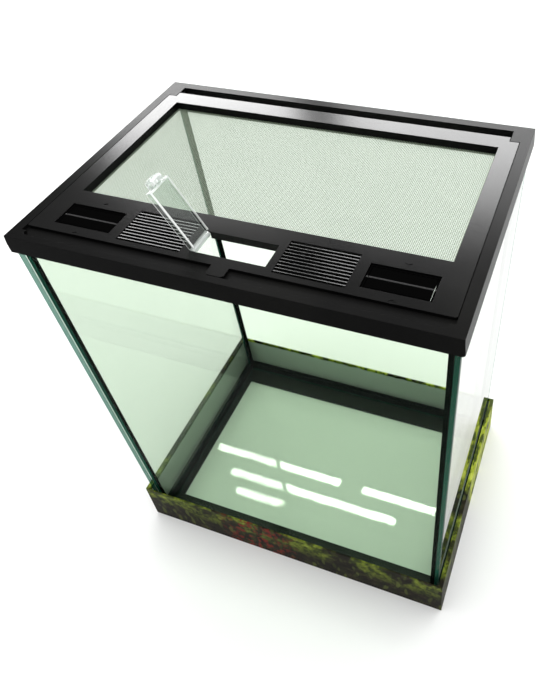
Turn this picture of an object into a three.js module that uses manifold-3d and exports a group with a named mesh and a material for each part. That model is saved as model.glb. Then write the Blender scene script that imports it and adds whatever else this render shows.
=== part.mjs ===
// A small glass hamster cage: five bonded glass panes standing in an open-bottomed cardboard
// tray, with a black plastic frame round the top and a drop-in lid. The lid carries a fine
// mesh window, two louvred vents, two rubber-lined cable ports and a clear feeding hatch.
// Millimetres, +Z up, +X to the right and -Y to the front. The origin is on the surface that
// the tray stands on, below the middle of the tank.

import * as THREE from 'three';
import { mergeVertices } from 'three/addons/utils/BufferGeometryUtils.js';
import Module from 'manifold-3d';

const wasm = await Module();
wasm.setup();

// ---------------------------------------------------------------- driving dimensions
const GAP = 0.3; // running gap kept between separate pieces

// Top frame, which the rest is set out from.
const FRAME_W = 303;
const FRAME_D = 214.5;
const FRAME_TOP = 378.3;
const FRAME_H = 12.8;
const FRAME_DRAFT = 1; // the frame's outer faces spread this far from top to bottom
const FRAME_CORNER_R = 2;
const SKIRT = 1.5; // outer wall of the channel that caps the panes
const INNER_WALL = 1.4; // inner wall of the same channel
const LEDGE_DROP = 2.3; // the lid's ledge lies this far below the frame's top
const LEDGE_T = 2;
const LEDGE_SIDE = 3.5; // how far the ledge reaches in beyond the rim at the sides
const LIP_W = 5.25; // front lip, outer face to finger channel
const CHANNEL_D = 4; // stepped part of the finger channel, between the raised corners
const CORNER_BLOCK = 3.2; // raised blocks at the two ends of the finger channel
const STEP_W = 6.7; // rear corner steps, measured in from the rim
const STEP_D = 14.05; // the same steps, measured forward from the rear rail

// Glass.
const GLASS_T = 4;
const FLOOR_T = 5;
const JOINT = 1; // silicone joint round the floor pane
const GLASS_W = FRAME_W - 2 * (SKIRT + GAP);
const GLASS_D = FRAME_D - 2 * (SKIRT + GAP);
const BEAD = 3.4; // leg of the silicone fillets
const BEAD_GAP = 0.25;

// Cardboard tray.
const TRAY_W = 313;
const TRAY_D = 220;
const TRAY_H = 50;
const WALL_SIDE = 4; // the side walls are folded double
const WALL_FACE = 1.4;
const LEAN_X = 1.5; // the side walls lean in this far at the top
const LEAN_Y = 1;
const FLAP_X = 18; // width of the folded-in bottom flaps, from the outer face
const FLAP_Y = 28;
const FLAP_T = 2;

// Lid.
const LID_T = LEDGE_DROP - GAP;
const LID_GAP = 0.5; // visible gap between the lid and the frame
const LID_FRONT = -93;
const SLOT = 8.65; // open slot between the lid's rear edge and the frame's rear rail
const LID_DEPTH = 5.5; // depth of the walls round each opening
const LID_WALL = 2;
const LID_CORNER_R = 1.5;
const TAB_W = 12; // finger tab at the middle of the front edge
const TAB_R = 2.5; // outer corners of that finger tab
const RIB = 1.6;
const MESH = { x0: -131, x1: 131, y0: -49.8, y1: 76.2 };
const PORT = { x: 106.5, y: -74.8, w: 42.6, d: 21.2 };
const VENT = { x: 54.5, y: -73.8, w: 46, d: 30 };
const HATCH = { x0: -26.2, x1: 26.2, y0: -85.5, y1: -65.3 };
const SLATS = 10;
const SLAT_T = 0.75;
const SLAT_H = 3;
const SLAT_LEAN = -0.6;
const SLAT_FALL = 0.1; // each slat's top slopes down this much towards the rear
const SLAT_DROP = 0.2; // the slats stop this far below the lid's top

// Screen, its retainer and the port linings.
const SCREEN_T = 0.4;
const SCREEN_LAP = 1.5;
const RETAINER_T = 1;
const RETAINER_W = 4;
const GROMMET_WALL = 1.2;
const GROMMET_TOP = 1; // the rubber lies this far below the lid's top
const GROMMET_FLANGE = 2.2;
const GROMMET_FLANGE_T = 1.2;
const LEAF_T = 1.2;

// Feeding hatch.
const DOOR_OPEN = 117; // degrees between the open door and its closed place
const HINGE_X = HATCH.x0 + 2.8;
const HINGE_DROP = 1.5; // pin axis below the lid's top
const PIN_R = 0.8;
const PIN_CLEAR = 0.3;
const BARREL_R = 1.7;
const DOOR_L = 44;
const DOOR_T = 1.5;
const DOOR_RIM = 1.2;
const DOOR_RIM_H = 2.6;
const LATCH_L = 5.2;
const LATCH_W = 11;
const LATCH_DROP = 5.6;

// ---------------------------------------------------------------- places worked out from them
const GLASS_FOOT = FLAP_T + GAP;
const FRAME_BOTTOM = FRAME_TOP - FRAME_H;
const LEDGE_TOP = FRAME_TOP - LEDGE_DROP;
const LEDGE_BOTTOM = LEDGE_TOP - LEDGE_T;
const GLASS_TOP = LEDGE_BOTTOM - 0.4;
const FLOOR_TOP = GLASS_FOOT + FLOOR_T;
const RIM = SKIRT + GAP + GLASS_T + GAP + INNER_WALL;
const RIM_X = FRAME_W / 2 - RIM; // inner face of the frame's rim
const RIM_Y = FRAME_D / 2 - RIM;
const LID_BOTTOM = FRAME_TOP - LID_T;
const WALL_BOTTOM = FRAME_TOP - LID_DEPTH;
const STEP_X = RIM_X - STEP_W;
const STEP_Y = RIM_Y - STEP_D;
const LID_X = RIM_X - 0.2;
const LID_REAR = RIM_Y - SLOT;
const LEDGE_FRONT = LID_FRONT + 1.8;
const PIN_Z = FRAME_TOP - HINGE_DROP;

// ---------------------------------------------------------------- materials
const plastic = (color, roughness) => new THREE.MeshStandardMaterial({ color, roughness, metalness: 0 });
const glassLook = () =>
  new THREE.MeshStandardMaterial({ color: 0xbfe0cf, roughness: 0.05, metalness: 0, transparent: true, opacity: 0.35 });
const steel = (color) => new THREE.MeshStandardMaterial({ color, roughness: 0.35, metalness: 1 });

const BLACK = 0x161616;
const SILICONE = 0x0a140d;
const BOARD_PRINT = 0x4a4a2c;

// ---------------------------------------------------------------- solids
function solid(geometry) {
  const bare = geometry.clone();
  bare.deleteAttribute('normal');
  bare.deleteAttribute('uv');
  const merged = mergeVertices(bare, 1e-4);
  return new wasm.Manifold(
    new wasm.Mesh({
      numProp: 3,
      vertProperties: new Float32Array(merged.attributes.position.array),
      triVerts: new Uint32Array(merged.index.array),
    }),
  );
}

function named(name, body, material) {
  const { vertProperties, triVerts } = body.getMesh();
  const geometry = new THREE.BufferGeometry();
  geometry.setAttribute('position', new THREE.BufferAttribute(vertProperties, 3));
  geometry.setIndex(new THREE.BufferAttribute(triVerts, 1));
  geometry.computeVertexNormals();
  const mesh = new THREE.Mesh(geometry, material);
  mesh.name = name;
  return mesh;
}

function box(x0, x1, y0, y1, z0, z1) {
  const geometry = new THREE.BoxGeometry(x1 - x0, y1 - y0, z1 - z0);
  return solid(geometry.translate((x0 + x1) / 2, (y0 + y1) / 2, (z0 + z1) / 2));
}

const boxAbout = (halfX, halfY, z0, z1) => box(-halfX, halfX, -halfY, halfY, z0, z1);

function join(parts) {
  return parts.reduce((sum, part) => sum.add(part));
}

function outline(points) {
  return new THREE.Shape(points.map(([x, y]) => new THREE.Vector2(x, y)));
}

function roundedRect(x0, x1, y0, y1, r) {
  const shape = new THREE.Shape();
  shape.moveTo(x0 + r, y0);
  shape.lineTo(x1 - r, y0);
  shape.absarc(x1 - r, y0 + r, r, -Math.PI / 2, 0, false);
  shape.lineTo(x1, y1 - r);
  shape.absarc(x1 - r, y1 - r, r, 0, Math.PI / 2, false);
  shape.lineTo(x0 + r, y1);
  shape.absarc(x0 + r, y1 - r, r, Math.PI / 2, Math.PI, false);
  shape.lineTo(x0, y0 + r);
  shape.absarc(x0 + r, y0 + r, r, Math.PI, 1.5 * Math.PI, false);
  return shape;
}

const extrude = (shape, depth, curveSegments = 4) =>
  new THREE.ExtrudeGeometry(shape, { depth, bevelEnabled: false, curveSegments });

// An outline in X and Y, raised from z0 to z1.
function upward(shape, z0, z1) {
  return solid(extrude(shape, z1 - z0).translate(0, 0, z0));
}

// An outline in Y and Z, run along X.
function alongX(shape, x0, x1) {
  const axes = new THREE.Matrix4().makeBasis(
    new THREE.Vector3(0, 1, 0),
    new THREE.Vector3(0, 0, 1),
    new THREE.Vector3(1, 0, 0),
  );
  return solid(extrude(shape, x1 - x0).applyMatrix4(axes).translate(x0, 0, 0));
}

// An outline in X and Z, run along Y.
function alongY(shape, y0, y1) {
  const axes = new THREE.Matrix4().makeBasis(
    new THREE.Vector3(1, 0, 0),
    new THREE.Vector3(0, 0, 1),
    new THREE.Vector3(0, -1, 0),
  );
  return solid(extrude(shape, y1 - y0).applyMatrix4(axes).translate(0, y1, 0));
}

// A round bar along Y.
function barY(x, z, r, y0, y1, sides = 24) {
  const geometry = new THREE.CylinderGeometry(r, r, y1 - y0, sides);
  return solid(geometry.translate(x, (y0 + y1) / 2, z));
}

// A block whose half-sizes change from (ax, ay) at z0 to (bx, by) at z1.
function tapered(ax, ay, bx, by, z0, z1) {
  const side = (a, b) => outline([[-a, z0], [a, z0], [b, z1], [-b, z1]]);
  return alongY(side(ax, bx), -TRAY_D, TRAY_D).intersect(alongX(side(ay, by), -TRAY_W, TRAY_W));
}

// ---------------------------------------------------------------- tray
function baseTray() {
  const halfX = TRAY_W / 2;
  const halfY = TRAY_D / 2;
  const outer = tapered(halfX, halfY, halfX - LEAN_X, halfY - LEAN_Y, 0, TRAY_H);
  const perMmX = LEAN_X / TRAY_H;
  const perMmY = LEAN_Y / TRAY_H;
  const inner = tapered(
    halfX - WALL_SIDE - perMmX * FLAP_T,
    halfY - WALL_FACE - perMmY * FLAP_T,
    halfX - WALL_SIDE - LEAN_X - perMmX,
    halfY - WALL_FACE - LEAN_Y - perMmY,
    FLAP_T,
    TRAY_H + 1,
  );
  const bottomHole = boxAbout(halfX - FLAP_X, halfY - FLAP_Y, -1, FLAP_T + 1);
  return outer.subtract(inner).subtract(bottomHole);
}

// ---------------------------------------------------------------- glass and silicone
const paneInX = GLASS_W / 2 - GLASS_T; // inner faces of the panes
const paneInY = GLASS_D / 2 - GLASS_T;

function facePane(side) {
  const outer = GLASS_D / 2;
  const [y0, y1] = side < 0 ? [-outer, -paneInY] : [paneInY, outer];
  return box(-GLASS_W / 2, GLASS_W / 2, y0, y1, GLASS_FOOT, GLASS_TOP);
}

function sidePane(side) {
  const outer = GLASS_W / 2;
  const [x0, x1] = side < 0 ? [-outer, -paneInX] : [paneInX, outer];
  return box(x0, x1, -(paneInY - GAP), paneInY - GAP, GLASS_FOOT, GLASS_TOP);
}

// Finger-smoothed silicone fillet in the corner between a side pane and a face pane. Drawn for the
// front right corner and mirrored to the others. It stands on the floor pane's own seal.
function cornerSeal(sideX, sideY) {
  const g = BEAD_GAP;
  const root = GLASS_T + g;
  const place = (u, v) => [GLASS_W / 2 - u, -(paneInY - v)];
  const section = new THREE.Shape();
  section.moveTo(...place(root + BEAD, g));
  section.lineTo(...place(root, g));
  section.lineTo(...place(root, BEAD + g));
  section.absarc(...place(root + BEAD, BEAD + g), BEAD, 0, -Math.PI / 2, true);
  const strip = upward(section, FLOOR_TOP + BEAD + 2 * GAP, FRAME_BOTTOM - GAP);
  return strip.scale([sideX, -sideY, 1]);
}

// Silicone round the edge of the floor pane, with a fillet up the walls.
function baseSeal() {
  const outX = paneInX - BEAD_GAP;
  const outY = paneInY - BEAD_GAP;
  const low = FLOOR_TOP + BEAD_GAP;
  const high = low + BEAD;
  const thin = JOINT - 2 * BEAD_GAP;
  const ring = boxAbout(outX, outY, GLASS_FOOT + GAP, high);
  const floorPocket = boxAbout(outX - thin, outY - thin, 0, low);
  const slope = tapered(outX - BEAD, outY - BEAD, outX - 0.2, outY - 0.2, low - 0.01, high);
  return ring.subtract(floorPocket).subtract(slope);
}

// ---------------------------------------------------------------- top frame
function topFrame() {
  const halfW = FRAME_W / 2;
  const halfD = FRAME_D / 2;
  const footW = halfW + FRAME_DRAFT;
  const footD = halfD + FRAME_DRAFT;
  const rounded = upward(roundedRect(-footW, footW, -footD, footD, FRAME_CORNER_R), FRAME_BOTTOM, FRAME_TOP);
  const block = rounded.intersect(tapered(footW, footD, halfW, halfD, FRAME_BOTTOM, FRAME_TOP));

  const channelOut = boxAbout(halfW - SKIRT, halfD - SKIRT, FRAME_BOTTOM - 1, LEDGE_BOTTOM);
  const channelIn = boxAbout(RIM_X + INNER_WALL, RIM_Y + INNER_WALL, FRAME_BOTTOM - 2, LEDGE_BOTTOM + 1);
  const glassChannel = channelOut.subtract(channelIn);

  const below = boxAbout(RIM_X, RIM_Y, FRAME_BOTTOM - 1, LEDGE_BOTTOM);
  const rearBay = box(-STEP_X, STEP_X, STEP_Y - 1, RIM_Y, FRAME_BOTTOM - 1, FRAME_TOP + 1);
  const ledgeX = RIM_X - LEDGE_SIDE;
  const mouth = box(-ledgeX, ledgeX, LEDGE_FRONT, STEP_Y, LEDGE_BOTTOM - 1, FRAME_TOP + 1);

  const lipY = -halfD + LIP_W;
  const recess = box(-RIM_X - GAP, RIM_X + GAP, lipY + CHANNEL_D, STEP_Y + GAP, LEDGE_TOP, FRAME_TOP + 1);
  const channelX = RIM_X - CORNER_BLOCK;
  const channel = upward(
    roundedRect(-channelX, channelX, lipY, lipY + 2 * CHANNEL_D, 2.5),
    LEDGE_TOP,
    FRAME_TOP + 1,
  );
  return [glassChannel, below, rearBay, mouth, recess, channel].reduce((body, cut) => body.subtract(cut), block);
}

// ---------------------------------------------------------------- lid
const grow = ({ x0, x1, y0, y1 }, by) => [x0 - by, x1 + by, y0 - by, y1 + by];
const around = ({ x, y, w, d }, side) => ({
  x0: side * x - w / 2,
  x1: side * x + w / 2,
  y0: y - d / 2,
  y1: y + d / 2,
});

// Leaning slats across one vent, with their ends let into its walls.
function ventSlats(area) {
  const top = FRAME_TOP - SLAT_DROP;
  const foot = top - SLAT_H;
  const pitch = (area.y1 - area.y0) / (SLATS + 0.5);
  const slats = [];
  for (let i = 0; i < SLATS; i += 1) {
    const y = area.y0 + pitch * (i + 0.75);
    const section = outline([
      [y - SLAT_T / 2, top],
      [y - SLAT_T / 2 + SLAT_LEAN, foot],
      [y + SLAT_T / 2 + SLAT_LEAN, foot],
      [y + SLAT_T / 2, top - SLAT_FALL],
    ]);
    slats.push(alongX(section, area.x0 - 0.5, area.x1 + 0.5));
  }
  return slats;
}

// The lid seen from above: its rounded front corners, the finger tab at the middle of the front
// edge and the narrower stretch between the frame's rear corner steps.
function lidOutline() {
  const r = LID_CORNER_R;
  const tabX = TAB_W / 2;
  const tabY = -FRAME_D / 2 + LIP_W + LID_GAP;
  const shoulderY = STEP_Y - LID_GAP + GAP;
  const rearX = STEP_X - LID_GAP;
  const shape = new THREE.Shape();
  shape.moveTo(-LID_X + r, LID_FRONT);
  shape.lineTo(-tabX, LID_FRONT);
  shape.lineTo(-tabX, tabY + TAB_R);
  shape.absarc(-tabX + TAB_R, tabY + TAB_R, TAB_R, Math.PI, 1.5 * Math.PI, false);
  shape.absarc(tabX - TAB_R, tabY + TAB_R, TAB_R, -Math.PI / 2, 0, false);
  shape.lineTo(tabX, LID_FRONT);
  shape.lineTo(LID_X - r, LID_FRONT);
  shape.absarc(LID_X - r, LID_FRONT + r, r, -Math.PI / 2, 0, false);
  shape.lineTo(LID_X, shoulderY);
  shape.lineTo(rearX, shoulderY);
  shape.lineTo(rearX, LID_REAR);
  shape.lineTo(-rearX, LID_REAR);
  shape.lineTo(-rearX, shoulderY);
  shape.lineTo(-LID_X, shoulderY);
  shape.absarc(-LID_X + r, LID_FRONT + r, r, Math.PI, 1.5 * Math.PI, false);
  return shape;
}

// Open-bottomed slots that the hatch pin's ends snap up into.
function pinSlots() {
  const half = PIN_R + PIN_CLEAR;
  const slot = (y0, y1) => box(HINGE_X - half, HINGE_X + half, y0, y1, WALL_BOTTOM - 1, PIN_Z + half);
  return [slot(HATCH.y0 - LID_WALL - 0.5, HATCH.y0 + 1), slot(HATCH.y1 - 1, HATCH.y1 + LID_WALL + 0.5)];
}

function lidPanel() {
  const plate = upward(lidOutline(), LID_BOTTOM, FRAME_TOP);
  const ribX = RIM_X - LEDGE_SIDE - GAP;
  const ribFront = LEDGE_FRONT + GAP;
  const ribRear = STEP_Y - GAP;
  const ribOuter = box(-ribX, ribX, ribFront, ribRear, WALL_BOTTOM, LID_BOTTOM + 0.5);
  const ribInner = box(-ribX + RIB, ribX - RIB, ribFront + RIB, ribRear - RIB, WALL_BOTTOM - 1, LID_BOTTOM + 1);
  const ribRing = ribOuter.subtract(ribInner);

  const openings = [MESH, HATCH, ...[-1, 1].flatMap((side) => [around(PORT, side), around(VENT, side)])];
  const walls = openings.map((area) => box(...grow(area, LID_WALL), WALL_BOTTOM, LID_BOTTOM + 0.5));
  const holes = openings.map((area) => box(...grow(area, 0), WALL_BOTTOM - 1, FRAME_TOP + 1));
  const slats = [-1, 1].flatMap((side) => ventSlats(around(VENT, side)));

  const body = join([plate, ribRing, ...walls]);
  const open = [...holes, ...pinSlots()].reduce((rest, cut) => rest.subtract(cut), body);
  return join([open, ...slats]);
}

// ---------------------------------------------------------------- mesh window
const SCREEN_TOP = WALL_BOTTOM - GAP;
const RETAINER_TOP = SCREEN_TOP - SCREEN_T - GAP;

function meshScreen() {
  return box(...grow(MESH, SCREEN_LAP), SCREEN_TOP - SCREEN_T, SCREEN_TOP);
}

function meshRetainer() {
  const outer = box(...grow(MESH, RETAINER_W), RETAINER_TOP - RETAINER_T, RETAINER_TOP);
  return outer.subtract(box(...grow(MESH, 0), RETAINER_TOP - RETAINER_T - 1, RETAINER_TOP + 1));
}

// ---------------------------------------------------------------- cable ports
const leafTop = FRAME_TOP - GROMMET_TOP;

// Rubber lining of one port: a sleeve with a flange that sits under the lid's walls.
function portGrommet(side) {
  const area = around(PORT, side);
  const flangeTop = WALL_BOTTOM - GAP;
  const sleeve = box(...grow(area, -GAP), flangeTop - GROMMET_FLANGE_T, leafTop);
  const flange = box(...grow(area, GROMMET_FLANGE), flangeTop - GROMMET_FLANGE_T, flangeTop);
  const bore = box(...grow(area, -GAP - GROMMET_WALL), flangeTop - GROMMET_FLANGE_T - 1, leafTop + 1);
  return join([sleeve, flange]).subtract(bore);
}

// One of the two rubber leaves that close a port. end is -1 for the front leaf, 1 for the rear.
function portLeaf(side, end) {
  const inner = around(PORT, side);
  const inset = GAP + GROMMET_WALL + GAP;
  const halfD = PORT.d / 2 - inset;
  const [y0, y1] = end < 0 ? [-halfD, -GAP / 2] : [GAP / 2, halfD];
  return box(inner.x0 + inset, inner.x1 - inset, PORT.y + y0, PORT.y + y1, leafTop - LEAF_T, leafTop);
}

// ---------------------------------------------------------------- feeding hatch
const doorY0 = HATCH.y0 + LID_GAP;
const doorY1 = HATCH.y1 - LID_GAP;

// The clear door in its closed place: barrel, plate with rims below it, and the snap latch.
function hatchDoorClosed() {
  const x = (distance) => HINGE_X + distance;
  const top = FRAME_TOP - 0.1;
  const under = top - DOOR_T;
  const rimLow = under - DOOR_RIM_H;
  const midY = (doorY0 + doorY1) / 2;
  const latchY0 = midY - LATCH_W / 2;
  const latchY1 = midY + LATCH_W / 2;
  const tip = DOOR_L + LATCH_L;

  const barrel = barY(HINGE_X, PIN_Z, BARREL_R, doorY0, doorY1);
  const plate = box(x(1), x(DOOR_L), doorY0, doorY1, under, top);
  const rims = [
    box(x(3), x(DOOR_L), doorY0, doorY0 + DOOR_RIM, rimLow, under + 0.5),
    box(x(3), x(DOOR_L), doorY1 - DOOR_RIM, doorY1, rimLow, under + 0.5),
    box(x(DOOR_L - DOOR_RIM), x(DOOR_L), doorY0, doorY1, rimLow, under + 0.5),
  ];
  const bridge = box(x(DOOR_L - 1), x(DOOR_L + 2.6), latchY0, latchY1, under, top);
  const legProfile = outline([
    [x(DOOR_L + 1.4), top],
    [x(DOOR_L + 1.4), rimLow - 1.2],
    [x(DOOR_L + 1.9), top - LATCH_DROP],
    [x(tip - 1.2), top - LATCH_DROP],
    [x(tip - 0.2), top - LATCH_DROP + 1.6],
    [x(DOOR_L + 2.6), top - LATCH_DROP + 2.2],
    [x(DOOR_L + 2.6), top],
  ]);
  const leg = alongY(legProfile, latchY0 + 1, latchY1 - 1);
  const tab = box(x(DOOR_L + 2), x(tip), latchY0 + 2, latchY1 - 2, top - 1.1, top);
  const cheeks = [latchY0, latchY1 - 1].map((y) =>
    box(x(DOOR_L - 0.5), x(tip - 0.6), y, y + 1, top - 2.4, top),
  );
  const bore = barY(HINGE_X, PIN_Z, PIN_R + PIN_CLEAR, doorY0 - 1, doorY1 + 1);
  return join([barrel, plate, ...rims, bridge, leg, tab, ...cheeks]).subtract(bore);
}

// The same door swung open about its pin.
function hatchDoor() {
  return hatchDoorClosed()
    .translate([-HINGE_X, 0, -PIN_Z])
    .rotate([0, -DOOR_OPEN, 0])
    .translate([HINGE_X, 0, PIN_Z]);
}

function hatchPin() {
  return barY(HINGE_X, PIN_Z, PIN_R, HATCH.y0 - LID_WALL, HATCH.y1 + LID_WALL);
}

// ---------------------------------------------------------------- assembly
const cage = new THREE.Group();
const add = (name, body, material) => cage.add(named(name, body, material));

add('base_tray', baseTray(), plastic(BOARD_PRINT, 0.7));
add('floor_glass', boxAbout(paneInX - JOINT, paneInY - JOINT, GLASS_FOOT, FLOOR_TOP), glassLook());
add('front_glass', facePane(-1), glassLook());
add('rear_glass', facePane(1), glassLook());
add('left_glass', sidePane(-1), glassLook());
add('right_glass', sidePane(1), glassLook());
add('base_seal', baseSeal(), plastic(SILICONE, 0.5));

for (const [sideX, wordX] of [[-1, 'left'], [1, 'right']]) {
  for (const [sideY, wordY] of [[-1, 'front'], [1, 'rear']]) {
    add(`corner_seal_${wordY}_${wordX}`, cornerSeal(sideX, sideY), plastic(SILICONE, 0.5));
    add(`port_leaf_${wordX}_${wordY}`, portLeaf(sideX, sideY), plastic(BLACK, 0.8));
  }
  add(`port_grommet_${wordX}`, portGrommet(sideX), plastic(BLACK, 0.8));
}

add('top_frame', topFrame(), plastic(BLACK, 0.45));
add('lid_panel', lidPanel(), plastic(BLACK, 0.4));
add('mesh_screen', meshScreen(), steel(0xb9c2b9));
add('mesh_retainer', meshRetainer(), plastic(BLACK, 0.5));
add('hatch_door', hatchDoor(), glassLook());
add('hatch_pin', hatchPin(), steel(0x303030));

export default cage;
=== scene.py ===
# Looks of the glass hamster cage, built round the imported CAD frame. Metres, +Z up, -Y front.
import math

import bpy
from mathutils import Matrix, Vector


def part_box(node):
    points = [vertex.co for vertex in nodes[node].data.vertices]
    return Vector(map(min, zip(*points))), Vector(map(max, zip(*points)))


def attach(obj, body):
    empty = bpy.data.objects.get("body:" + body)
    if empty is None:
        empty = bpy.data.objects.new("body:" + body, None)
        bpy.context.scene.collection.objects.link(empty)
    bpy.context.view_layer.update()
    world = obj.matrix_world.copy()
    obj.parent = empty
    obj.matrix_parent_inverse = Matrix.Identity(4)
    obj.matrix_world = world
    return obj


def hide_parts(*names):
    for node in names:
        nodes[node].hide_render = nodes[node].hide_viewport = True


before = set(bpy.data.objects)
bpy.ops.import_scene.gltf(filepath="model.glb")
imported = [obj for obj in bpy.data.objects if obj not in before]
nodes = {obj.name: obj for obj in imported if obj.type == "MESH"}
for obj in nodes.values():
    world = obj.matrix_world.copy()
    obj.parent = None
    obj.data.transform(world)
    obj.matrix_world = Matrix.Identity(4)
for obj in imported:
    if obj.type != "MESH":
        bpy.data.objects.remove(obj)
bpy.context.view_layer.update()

MM = 0.001
BLACK = (0, 0, 0)
WHITE = (1, 1, 1)
HATCH_OPEN = 117  # degrees between the open hatch door and its closed place
PORT_Y = sum(corner.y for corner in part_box("port_grommet_left")) / 2
PIN_AT = sum(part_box("hatch_pin"), Vector()) / 2

# ---------------------------------------------------------------- camera
CAMERA_AT = Vector((0.18649, -0.32987, 0.62910))
CAMERA_AZIMUTH = math.radians(23.98)
CAMERA_ELEVATION = math.radians(47.08)
CAMERA_ROLL = math.radians(4.958)
CAMERA_LENS = 33.923
CAMERA_SHIFT = (-0.1107, -0.0197)


def make_camera():
    a, e, r = CAMERA_AZIMUTH, CAMERA_ELEVATION, CAMERA_ROLL
    level_right = Vector((math.cos(a), math.sin(a), 0))
    level_up = Vector((-math.sin(a) * math.sin(e), math.cos(a) * math.sin(e), math.cos(e)))
    forward = Vector((-math.sin(a) * math.cos(e), math.cos(a) * math.cos(e), -math.sin(e)))
    right = math.cos(r) * level_right - math.sin(r) * level_up
    up = right.cross(forward)
    data = bpy.data.cameras.new("camera")
    data.sensor_width = 36
    data.lens = CAMERA_LENS
    data.shift_x, data.shift_y = CAMERA_SHIFT
    data.clip_start = 0.01
    data.clip_end = 50
    camera = bpy.data.objects.new("camera", data)
    turned = Matrix((right, up, -forward)).transposed()
    camera.matrix_world = Matrix.Translation(CAMERA_AT) @ turned.to_4x4()
    bpy.context.scene.collection.objects.link(camera)
    bpy.context.scene.camera = camera


make_camera()


# ---------------------------------------------------------------- node wiring
class Wiring:
    """A node tree being filled in. A value is a socket to link, or a constant."""

    def __init__(self, tree):
        self.tree = tree
        tree.nodes.clear()

    def put(self, kind, inputs=None, out=0, **settings):
        node = self.tree.nodes.new(kind)
        for key, value in settings.items():
            setattr(node, key, value)
        for key, value in (inputs or {}).items():
            socket = node.inputs[key]
            if isinstance(value, bpy.types.NodeSocket):
                self.tree.links.new(value, socket)
            else:
                socket.default_value = value
        return node.outputs[out]

    def math(self, operation, a, b=0.0):
        return self.put("ShaderNodeMath", {0: a, 1: b}, operation=operation)

    def place(self):
        """Where a point is on the piece, in metres."""
        return self.put("ShaderNodeTexCoord", out="Object")

    def parts(self, vector):
        """The x, y and z of a vector."""
        return self.put("ShaderNodeSeparateXYZ", {0: vector}).node.outputs

    def facing(self):
        """The piece's own surface normal, split into its parts."""
        return self.parts(self.put("ShaderNodeTexCoord", out="Normal"))

    def noise(self, scale, detail=2.0, roughness=0.5, stretch=(1, 1, 1), out="Fac"):
        spot = self.put("ShaderNodeMapping", {"Vector": self.place(), "Scale": stretch})
        values = {"Vector": spot, "Scale": scale, "Detail": detail, "Roughness": roughness}
        return self.put("ShaderNodeTexNoise", values, out=out)

    def ramp(self, factor, stops):
        socket = self.put("ShaderNodeValToRGB", {0: factor})
        ramp = socket.node.color_ramp
        ramp.interpolation = "EASE"
        while len(ramp.elements) < len(stops):
            ramp.elements.new(0.5)
        for element, (position, colour) in zip(ramp.elements, stops):
            element.position = position
            element.color = (*colour, 1)
        return socket

    def blend(self, factor, a, b):
        mix = self.put("ShaderNodeMix", data_type="RGBA", out=2).node
        for index, value in ((0, factor), (6, a), (7, b)):
            if isinstance(value, bpy.types.NodeSocket):
                self.tree.links.new(value, mix.inputs[index])
            else:
                mix.inputs[index].default_value = value if index == 0 else (*value, 1)
        return mix.outputs[2]

    def span(self, value, low, high):
        """A factor turned into a range of values."""
        return self.put("ShaderNodeMapRange", {"Value": value, "To Min": low, "To Max": high})

    def fade(self, value, start, end, low=0.0, high=1.0):
        """Goes from low to high while the value goes from start to end."""
        values = {"Value": value, "From Min": start, "From Max": end, "To Min": low, "To Max": high}
        return self.put("ShaderNodeMapRange", values)

    def principled(self, **inputs):
        """A Principled shader; an underscore in a name stands for a space."""
        named = {name.replace("_", " "): value for name, value in inputs.items()}
        return self.put("ShaderNodeBsdfPrincipled", named)

    def mixed(self, factor, a, b):
        return self.put("ShaderNodeMixShader", {0: factor, 1: a, 2: b})

    def bump(self, height, strength, distance):
        values = {"Height": height, "Strength": strength, "Distance": distance}
        return self.put("ShaderNodeBump", values)

    def surface(self, shader):
        output = self.tree.nodes.new("ShaderNodeOutputMaterial")
        self.tree.links.new(shader, output.inputs["Surface"])


def look(name):
    material = bpy.data.materials.new(name)
    material.use_nodes = True
    return material, Wiring(material.node_tree)


# ---------------------------------------------------------------- materials
def moulded(name, dark, light, rough, grain, depth, specular):
    """Moulded black plastic or rubber: fine spark-eroded grain and slow changes of tone."""
    material, w = look(name)
    slow = w.noise(12, 3)
    fine = w.noise(grain, 2, 0.6)
    shader = w.principled(
        Base_Color=w.blend(w.ramp(slow, [(0.35, BLACK), (0.7, WHITE)]), dark, light),
        Roughness=w.span(w.noise(25, 3), rough - 0.02, rough + 0.03),
        Specular_IOR_Level=specular,
        Normal=w.bump(fine, 0.2, depth),
    )
    w.surface(shader)
    return material


def rubber_look():
    """The ports' rubber: dead black, paler in a thin line along the slit between the leaves."""
    material, w = look("port_rubber")
    grain = w.noise(1100, 2, 0.6)
    along = w.parts(w.place())[1]
    from_slit = w.math("ABSOLUTE", w.math("SUBTRACT", along, PORT_Y))
    # Paler in a thin line along the slit between the leaves.
    paler_at_slit = w.fade(from_slit, 0.7 * MM, 0.3 * MM)
    shader = w.principled(
        Base_Color=w.blend(paler_at_slit, (0.0015, 0.0015, 0.0015), (0.07, 0.07, 0.07)),
        Roughness=w.span(grain, 0.55, 0.65),
        Specular_IOR_Level=0.0,
        Normal=w.bump(grain, 0.3, 8e-5),
    )
    w.surface(shader)
    return material


def schlick(w, least):
    """How much a surface mirrors, from head-on to grazing."""
    grazing = w.put("ShaderNodeLayerWeight", {"Blend": 0.5}, out="Facing")
    fifth = w.math("POWER", grazing, 5.0)
    values = {0: fifth, 1: 1 - least, 2: least}
    return w.put("ShaderNodeMath", values, operation="MULTIPLY_ADD", use_clamp=True)


PANE_TINTS = ((0.90, 0.94, 0.895), (0.91, 0.947, 0.905))
EDGE_DARK, EDGE_LIGHT = (0.002, 0.03, 0.022), (0.012, 0.13, 0.09)
THROUGH_EDGE_DARK, THROUGH_EDGE_LIGHT = (0.30, 0.52, 0.45), (0.38, 0.60, 0.52)
GLASS_HEAD_ON = 0.04  # what glass mirrors when seen head-on
FACE_NORMAL = 0.97  # a normal nearer to the pane's own axis than this is on a face, not an edge


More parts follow.
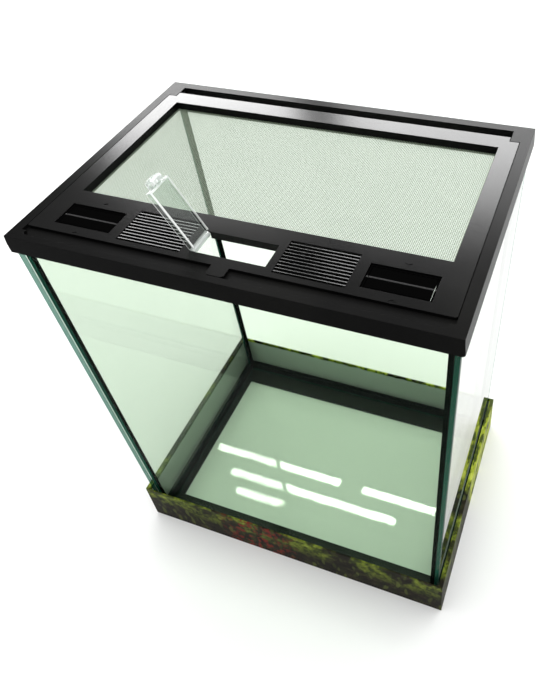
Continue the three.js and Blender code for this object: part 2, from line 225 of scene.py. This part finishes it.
def float_glass(name, across, clearness=1.0, mirroring=1.0, edge_body=1.0):
    """A pane: clear with a slight tint through its faces, deep green at its cut edges."""
    material, w = look(name)
    smear = w.noise(9, 5, 0.65)
    tint = w.blend(smear, *([clearness * part for part in tint] for tint in PANE_TINTS))
    clear = w.put("ShaderNodeBsdfTransparent", {"Color": tint})
    gloss = {"Color": (1, 1, 1, 1), "Roughness": w.span(smear, 0.0, 0.015)}
    mirror = w.put("ShaderNodeBsdfAnisotropic", gloss)
    mirrored = w.math("MULTIPLY", schlick(w, GLASS_HEAD_ON), mirroring)
    face = w.mixed(mirrored, clear, mirror)
    streak = w.noise(40, 3, stretch=(1, 1, 0.15))
    edge = w.principled(
        Base_Color=w.blend(streak, EDGE_DARK, EDGE_LIGHT),
        Roughness=w.span(streak, 0.15, 0.3),
        Specular_IOR_Level=0.1,
    )
    if edge_body < 1:
        through = w.blend(streak, THROUGH_EDGE_DARK, THROUGH_EDGE_LIGHT)
        glow = w.put("ShaderNodeBsdfTransparent", {"Color": through})
        edge = w.mixed(edge_body, glow, edge)
    on_face = w.math("GREATER_THAN", w.math("ABSOLUTE", w.facing()[across]), FACE_NORMAL)
    w.surface(w.mixed(on_face, edge, face))
    return material


def silicone_look():
    material, w = look("silicone")
    wave = w.noise(90, 3, stretch=(1, 1, 0.3))
    shader = w.principled(
        Base_Color=w.blend(wave, (0.0015, 0.003, 0.002), (0.004, 0.006, 0.005)),
        Roughness=w.span(wave, 0.3, 0.42),
        Specular_IOR_Level=0.0,
        Normal=w.bump(wave, 0.3, 0.0002),
    )
    w.surface(shader)
    return material


# The tray's print, from its darkest to its brightest tone at each place in the noise.
GROUND_STOPS = [(0.36, (0.004, 0.004, 0.003)), (0.52, (0.014, 0.012, 0.007)), (0.66, (0.04, 0.034, 0.016))]
OLIVE_STOPS = [(0.0, (0.008, 0.01, 0.004)), (0.5, (0.04, 0.045, 0.012)), (0.9, (0.10, 0.12, 0.03))]
BRIGHT_STOPS = [(0.42, (0.03, 0.04, 0.008)), (0.56, (0.14, 0.18, 0.02)), (0.68, (0.26, 0.32, 0.05))]
LIME_STOPS = [(0.40, (0.05, 0.07, 0.01)), (0.52, (0.30, 0.36, 0.03)), (0.65, (0.50, 0.55, 0.09))]
BLOSSOM_RED = (0.16, 0.018, 0.012)
BLOSSOM_X = -0.030
LEAF_TURN = (-0.6, 0.3, -0.8)
LEAF_STRETCH = (1.2, 1, 0.4)


def leaves(w):
    """Leaf shapes: stretched cells with a lighter middle, and a random tone for each leaf."""
    bend = w.noise(35, 2, out="Color")
    values = {0: bend, 1: (0.012, 0.012, 0.012), 2: w.place()}
    bent = w.put("ShaderNodeVectorMath", values, operation="MULTIPLY_ADD")
    turned = {"Vector": bent, "Rotation": LEAF_TURN, "Scale": LEAF_STRETCH}
    cells = {"Vector": w.put("ShaderNodeMapping", turned), "Scale": 150, "Randomness": 1.0}
    far = w.put("ShaderNodeTexVoronoi", cells, out="Distance")
    tone = w.put("ShaderNodeTexVoronoi", cells, out="Color")
    return far, w.put("ShaderNodeSeparateColor", {0: tone}, out=0)


def foliage(w, place):
    """The print: a dark tangle, olive leaves, brighter clumps near the rim, red blossom, lime walls."""
    leaf, leaf_tone = leaves(w)
    leaf = w.ramp(leaf, [(0.30, WHITE), (0.52, BLACK)])
    ground = w.ramp(w.noise(75, 6, 0.72, stretch=(1, 1, 1.6)), GROUND_STOPS)
    colour = w.blend(w.math("MULTIPLY", leaf, 0.6), ground, w.ramp(leaf_tone, OLIVE_STOPS))
    bright = w.ramp(w.noise(130, 5, 0.7), BRIGHT_STOPS)
    upper = w.fade(place[2], 0.020, 0.042)
    clump = w.ramp(w.noise(26, 4, 0.6), [(0.44, BLACK), (0.54, WHITE)])
    colour = w.blend(w.math("MULTIPLY", clump, upper), colour, bright)

    blossom = w.fade(w.math("ABSOLUTE", w.math("SUBTRACT", place[0], BLOSSOM_X)), 0.045, 0.015)
    petal = w.ramp(w.noise(170, 3, 0.6), [(0.50, BLACK), (0.58, WHITE)])
    in_front = w.math("LESS_THAN", place[1], 0.0)
    red_zone = w.math("MULTIPLY", w.math("MULTIPLY", petal, blossom), in_front)
    colour = w.blend(red_zone, colour, BLOSSOM_RED)

    lime = w.ramp(w.noise(260, 3, stretch=(1, 0.35, 0.35)), LIME_STOPS)
    right_wall = w.fade(place[0], 0.138, 0.142)
    ragged = w.math("ADD", place[1], w.span(w.noise(60, 3), -0.02, 0.02))
    rear_half = w.fade(ragged, -0.006, 0.002)
    rear_wall = w.fade(place[1], 0.100, 0.102)
    patchy = w.ramp(w.noise(40, 2), [(0.46, BLACK), (0.54, WHITE)])
    right_rear = w.math("MULTIPLY", right_wall, rear_half)
    limed = w.math("MAXIMUM", right_rear, w.math("MULTIPLY", rear_wall, patchy))
    return w.blend(limed, colour, lime)


def card_look():
    """The tray's board: a printed foliage pattern outside and over the rim, plain grey inside, with painted
    shade darkening the low inturned flaps to near black.
    """
    material, w = look("printed_card")
    place = w.parts(w.place())
    facing = w.facing()
    outward_x = w.math("MULTIPLY", place[0], facing[0])
    outward_y = w.math("MULTIPLY", place[1], facing[1])
    outward = w.math("GREATER_THAN", w.math("ADD", outward_x, outward_y), 0.02)
    folded_over = w.math("GREATER_THAN", place[2], w.span(w.noise(120, 3), 0.0435, 0.0485))
    printed = w.math("MAXIMUM", outward, folded_over)

    fibre = w.noise(700, 4, 0.7)
    grey = w.blend(fibre, (0.44, 0.455, 0.455), (0.55, 0.565, 0.565))
    # Painted shade: the low inturned flaps, in the shade under the floor pane, are painted near black.
    flap_painted_shade = w.fade(place[2], 0.010, 0.007)
    grey = w.blend(flap_painted_shade, grey, (0.02, 0.023, 0.022))
    shader = w.principled(
        Base_Color=w.blend(printed, grey, foliage(w, place)),
        Roughness=w.span(printed, 0.85, 0.45),
        Specular_IOR_Level=0.03,
        Normal=w.bump(fibre, 0.25, 0.0002),
    )
    w.surface(shader)
    return material


def wire_look():
    material, w = look("woven_wire")
    tone = w.noise(55, 4)
    shader = w.principled(
        Base_Color=w.blend(tone, (0.17, 0.215, 0.155), (0.22, 0.265, 0.20)),
        Roughness=w.span(tone, 0.42, 0.55),
        Specular_IOR_Level=0.06,
    )
    w.surface(shader)
    return material


def steel_look():
    material, w = look("drawn_steel")
    drawn = w.noise(900, 2, stretch=(1, 0.05, 1))
    shader = w.principled(
        Base_Color=w.blend(drawn, (0.05, 0.05, 0.05), (0.10, 0.10, 0.10)),
        Metallic=1.0,
        Roughness=w.span(drawn, 0.18, 0.32),
        Normal=w.bump(drawn, 0.2, 5e-5),
    )
    w.surface(shader)
    return material


# Where the door's painted highlight lines and painted glints go:
DOOR_TOP_LINE = 0.9 * MM  # above the pin, across the door's thickness: its outer edges
DOOR_FOOT_LINE = -2.1 * MM  # below the pin, likewise: its inner rims
DOOR_FOOT = 2.6 * MM  # the rounded foot reaches this far from the pin
DOOR_LATCH = 43.5 * MM  # the latch begins this far from the pin
SIDEWAYS = 0.6  # a normal less square to the door than this is on one of its sides


def clear_plastic_look():
    """The hatch door: clear walls; its edges, rounded rims and latch carry painted highlights in near-white
    paint.
    """
    material, w = look("clear_plastic")
    flow = w.noise(70, 3, stretch=(0.3, 1, 1))
    through = w.blend(flow, (0.86, 0.90, 0.87), (0.92, 0.95, 0.93))
    clear = w.put("ShaderNodeBsdfTransparent", {"Color": through})
    gloss = {"Color": (1, 1, 1, 1), "Roughness": w.span(flow, 0.02, 0.06)}
    wall = w.mixed(schlick(w, 0.05), clear, w.put("ShaderNodeBsdfAnisotropic", gloss))
    # Near-white paint for the door's painted highlights.
    highlight_paint = w.principled(
        Base_Color=w.blend(flow, (0.86, 0.90, 0.88), (0.97, 0.98, 0.97)),
        Roughness=w.span(flow, 0.1, 0.2),
        Specular_IOR_Level=0.2,
    )

    swing = math.radians(HATCH_OPEN)
    sine, cosine = math.sin(swing), math.cos(swing)

    def turned(x, z):
        """Along the open door, away from its pin, and square to the door."""
        reach = w.math("ADD", w.math("MULTIPLY", x, cosine), w.math("MULTIPLY", z, sine))
        depth = w.math("SUBTRACT", w.math("MULTIPLY", z, cosine), w.math("MULTIPLY", x, sine))
        return reach, depth

    place = w.parts(w.place())
    from_pin = [w.math("SUBTRACT", place[axis], PIN_AT[axis]) for axis in (0, 2)]
    reach, depth = turned(*from_pin)
    facing = w.facing()
    square = turned(facing[0], facing[2])[1]
    sideways = w.math("LESS_THAN", w.math("ABSOLUTE", square), SIDEWAYS)
    # Painted highlight lines on the door's outer edges and inner rims, stronger towards the front; a
    # fainter painted highlight on the rounded foot; painted glints on the latch.
    top_edge_highlight = w.math("MULTIPLY", w.math("GREATER_THAN", depth, DOOR_TOP_LINE), sideways)
    front_most = w.fade(place[1], PIN_AT.y, PIN_AT.y - 5 * MM, 0.45, 0.9)
    edge_highlights = w.math("MAXIMUM", top_edge_highlight, w.math("LESS_THAN", depth, DOOR_FOOT_LINE))
    edge_highlights = w.math("MULTIPLY", edge_highlights, front_most)
    foot_highlight = w.math("MULTIPLY", w.math("LESS_THAN", reach, DOOR_FOOT), 0.3)
    edge_highlights = w.math("MULTIPLY", edge_highlights, w.math("GREATER_THAN", reach, DOOR_FOOT))
    glint_spots = w.fade(w.noise(420, 2), 0.4, 0.6, 0.0, 0.95)
    latch_glints = w.math("MULTIPLY", w.math("GREATER_THAN", reach, DOOR_LATCH), glint_spots)
    painted_highlights = w.math("MAXIMUM", w.math("MAXIMUM", edge_highlights, foot_highlight), latch_glints)
    # The clear wall, with the painted highlights laid over it.
    w.surface(w.mixed(painted_highlights, wall, highlight_paint))
    return material


def floor_look():
    material, w = look("pale_floor")
    tone = w.noise(3, 5)
    shader = w.principled(
        Base_Color=w.blend(tone, (0.83, 0.84, 0.83), (0.86, 0.865, 0.86)),
        Roughness=w.span(tone, 0.45, 0.55),
        Specular_IOR_Level=0.0,
    )
    w.surface(shader)
    return material


FRAME_DARK, FRAME_LIGHT = (0.0045, 0.0045, 0.0045), (0.007, 0.007, 0.0065)
LID_DARK, LID_LIGHT = (0.003, 0.003, 0.003), (0.006, 0.006, 0.0055)
frame_black = moulded("frame_plastic", FRAME_DARK, FRAME_LIGHT, 0.24, 1600, 6e-5, 0.015)
lid_black = moulded("lid_plastic", LID_DARK, LID_LIGHT, 0.19, 1800, 5e-5, 0.05)
rubber_black = rubber_look()
silicone = silicone_look()

dress = {
    "base_tray": card_look(),
    "floor_glass": float_glass("floor_pane", 2, 0.97, mirroring=0.35),
    "front_glass": float_glass("face_pane", 1, mirroring=0.05, edge_body=0.55),
    "left_glass": float_glass("side_pane", 0, 0.935),
    "base_seal": silicone,
    "top_frame": frame_black,
    "lid_panel": lid_black,
    "mesh_retainer": lid_black,
    "hatch_door": clear_plastic_look(),
    "hatch_pin": steel_look(),
}
dress["rear_glass"] = dress["front_glass"]
dress["right_glass"] = dress["left_glass"]
for name in nodes:
    if name.startswith("corner_seal"):
        dress[name] = silicone
    if name.startswith("port_"):
        dress[name] = rubber_black


# ---------------------------------------------------------------- CAD nodes
def finish_node(node, material, bevel):
    """Gives a CAD node its material and softens its moulded or cut edges."""
    mesh = node.data
    mesh.materials.clear()
    mesh.materials.append(material)
    if "custom_normal" in mesh.attributes:
        mesh.attributes.remove(mesh.attributes["custom_normal"])
    if bevel == 0:  # merging coplanar faces would bridge a flat ring's opening
        return
    mesh.polygons.foreach_set("use_smooth", [True] * len(mesh.polygons))
    weld = node.modifiers.new("weld", "WELD")
    weld.merge_threshold = 0.002 * MM
    flat = node.modifiers.new("flat", "DECIMATE")
    flat.decimate_type = "DISSOLVE"
    flat.angle_limit = math.radians(0.5)
    soft = node.modifiers.new("soft", "BEVEL")
    soft.width = bevel
    soft.segments = 2
    soft.limit_method = "ANGLE"
    soft.angle_limit = math.radians(35)
    node.modifiers.new("shade", "WEIGHTED_NORMAL")


USUAL_BEVEL = 0.25  # mm, as the ones below
BEVELS = {
    "base_seal": 0,
    "base_tray": 0.35,
    "hatch_door": 0.2,
    "hatch_pin": 0.2,
    "lid_panel": 0.2,
    "top_frame": 0.6,
}
for name, node in nodes.items():
    if name != "mesh_screen":
        finish_node(node, dress[name], BEVELS.get(name, USUAL_BEVEL) * MM)


# ---------------------------------------------------------------- new pieces
def piece(name, points, faces, material, body):
    mesh = bpy.data.meshes.new(name)
    mesh.from_pydata(points, [], faces)
    mesh.materials.append(material)
    mesh.update()
    made = bpy.data.objects.new(name, mesh)
    bpy.context.scene.collection.objects.link(made)
    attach(made, body)
    return made


WIRE_PITCH = 1.2 * MM
WIRE_R = 0.13 * MM
WIRE_HALF_WIDTH = 0.21 * MM  # the crimped wires are flattened
WIRE_LIFT = 1.02 * WIRE_R  # a wire rises and falls this far, so that crossing wires stay clear


def wires(low, high, along):
    """One set of parallel wires, each waving over and under the other set."""
    across = 1 - along
    level = (low.z + high.z) / 2
    lanes = int(round((high[across] - low[across]) / WIRE_PITCH))
    steps = int(round((high[along] - low[along]) / WIRE_PITCH))
    step = (high[along] - low[along]) / steps
    points, faces = [], []

    def face(*corners):
        faces.append(corners[::-1] if along == 0 else corners)

    for lane in range(lanes):
        middle = low[across] + (lane + 0.5) * (high[across] - low[across]) / lanes
        first = len(points)
        for ring in range(steps + 2):
            run = min(max(low[along] + (ring - 0.5) * step, low[along]), high[along])
            lift = WIRE_LIFT if (ring + lane + along) % 2 else -WIRE_LIFT
            for side, up in ((-1, 0), (0, 1), (1, 0), (0, -1)):
                point = [0, 0, level + lift + up * WIRE_R]
                point[along] = run
                point[across] = middle + side * WIRE_HALF_WIDTH
                points.append(point)
        for ring in range(steps + 1):
            a = first + 4 * ring
            for k in range(4):
                n = (k + 1) % 4
                face(a + k, a + n, a + 4 + n, a + 4 + k)
        last = first + 4 * (steps + 1)
        face(*(first + k for k in (3, 2, 1, 0)))
        face(*(last + k for k in (0, 1, 2, 3)))
    return points, faces


def woven_mesh():
    low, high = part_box("mesh_screen")
    wire = wire_look()
    for along, name in enumerate(("mesh_wires_long", "mesh_wires_short")):
        points, faces = wires(low, high, along)
        made = piece(name, points, faces, wire, "lid")
        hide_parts("mesh_screen")


woven_mesh()


ARROW_OFF = 3.4 * MM  # from the port's edge
ARROW_SUNK, ARROW_PROUD = 0.1 * MM, 0.25 * MM  # below and above the lid's top


def chevrons():
    """Small raised arrowheads beside each cable port, pointing at it."""
    lid_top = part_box("lid_panel")[1].z
    wide, tall, thick = 2.2 * MM, 1.5 * MM, 0.8 * MM
    for side in ("left", "right"):
        port_low, port_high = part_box(f"port_grommet_{side}")
        x = (port_low.x + port_high.x) / 2
        for name, y, aim in (("front", port_low.y - ARROW_OFF, 1), ("rear", port_high.y + ARROW_OFF, -1)):
            outline = [(-wide, 0), (0, tall), (wide, 0), (wide, -thick), (0, tall - thick), (-wide, -thick)]
            ring = [(x + dx, y + aim * dy) for dx, dy in outline]
            levels = (lid_top - ARROW_SUNK, lid_top + ARROW_PROUD)
            points = [(px, py, z) for z in levels for px, py in ring]
            count = len(ring)
            sides = [(k, (k + 1) % count, count + (k + 1) % count, count + k) for k in range(count)]
            caps = [(6, 7, 10, 11), (7, 8, 9, 10), (5, 4, 1, 0), (4, 3, 2, 1)]
            faces = [quad[::-1] if aim > 0 else quad for quad in sides + caps]
            piece(f"lid_arrow_{side}_{name}", points, faces, lid_black, "lid")


chevrons()


# ---------------------------------------------------------------- floor, lights, world
FLOOR_DROP = 0.2 * MM  # the floor lies just below the tray's underside


def make_floor():
    size = 6
    mesh = bpy.data.meshes.new("floor")
    corners = [(-size, -size, 0), (size, -size, 0), (size, size, 0), (-size, size, 0)]
    mesh.from_pydata(corners, [], [(0, 1, 2, 3)])
    mesh.materials.append(floor_look())
    floor = bpy.data.objects.new("floor", mesh)
    floor.location.z = -FLOOR_DROP
    bpy.context.scene.collection.objects.link(floor)


def soft_light(name, at, towards, width, height, power, diffuse=True, glossy=True):
    data = bpy.data.lights.new(name, "AREA")
    data.shape = "RECTANGLE"
    data.size = width
    data.size_y = height
    data.energy = power
    light = bpy.data.objects.new(name, data)
    light.location = at
    light.rotation_euler = (Vector(towards) - Vector(at)).to_track_quat("-Z", "Y").to_euler()
    light.visible_camera = False
    light.visible_diffuse = diffuse
    light.visible_glossy = glossy
    bpy.context.scene.collection.objects.link(light)


def make_world():
    world = bpy.data.worlds.new("studio")
    world.use_nodes = True
    w = Wiring(world.node_tree)
    shade = w.put("ShaderNodeBackground", {"Color": (1, 1, 1, 1), "Strength": 0.6})
    output = world.node_tree.nodes.new("ShaderNodeOutputWorld")
    world.node_tree.links.new(shade, output.inputs["Surface"])
    bpy.context.scene.world = world


make_floor()
make_world()
# The panels and tubes are only seen as reflections; the overhead softbox is only seen as diffuse light.
PANEL_Y = 1.6
PANEL_FOOT = 1.05
PANEL_TOP = 1.6
PANEL_POWER = 115
for side, x0, x1 in (("left", -1.75, -0.80), ("right", -0.64, 1.00)):
    at = ((x0 + x1) / 2, PANEL_Y, (PANEL_FOOT + PANEL_TOP) / 2)
    tall = PANEL_TOP - PANEL_FOOT
    power = PANEL_POWER * (x1 - x0) * tall
    soft_light(f"panel_{side}", at, (at[0], 0, at[2]), x1 - x0, tall, power, diffuse=False)
soft_light("overhead", (-0.1, 0.75, 2.6), (-0.1, 0.55, 0), 4.0, 3.6, 122, glossy=False)
TUBE_Z = 2.3
TUBE_WIDTH = 0.038
TUBE_POWER = 230
TUBES = ((-1.80, -0.596, 1.130), (-0.473, -0.099, 1.130), (-1.154, -0.267, 1.018), (-1.085, -0.806, 0.928))
for index, (x0, x1, y) in enumerate(TUBES):
    middle = ((x0 + x1) / 2, y, TUBE_Z)
    power = TUBE_POWER * (x1 - x0) * TUBE_WIDTH
    soft_light(f"tube_{index}", middle, (middle[0], y, 0), x1 - x0, TUBE_WIDTH, power, diffuse=False)

bpy.context.scene.view_settings.view_transform = "Standard"
bpy.context.scene.cycles.transparent_max_bounces = 32
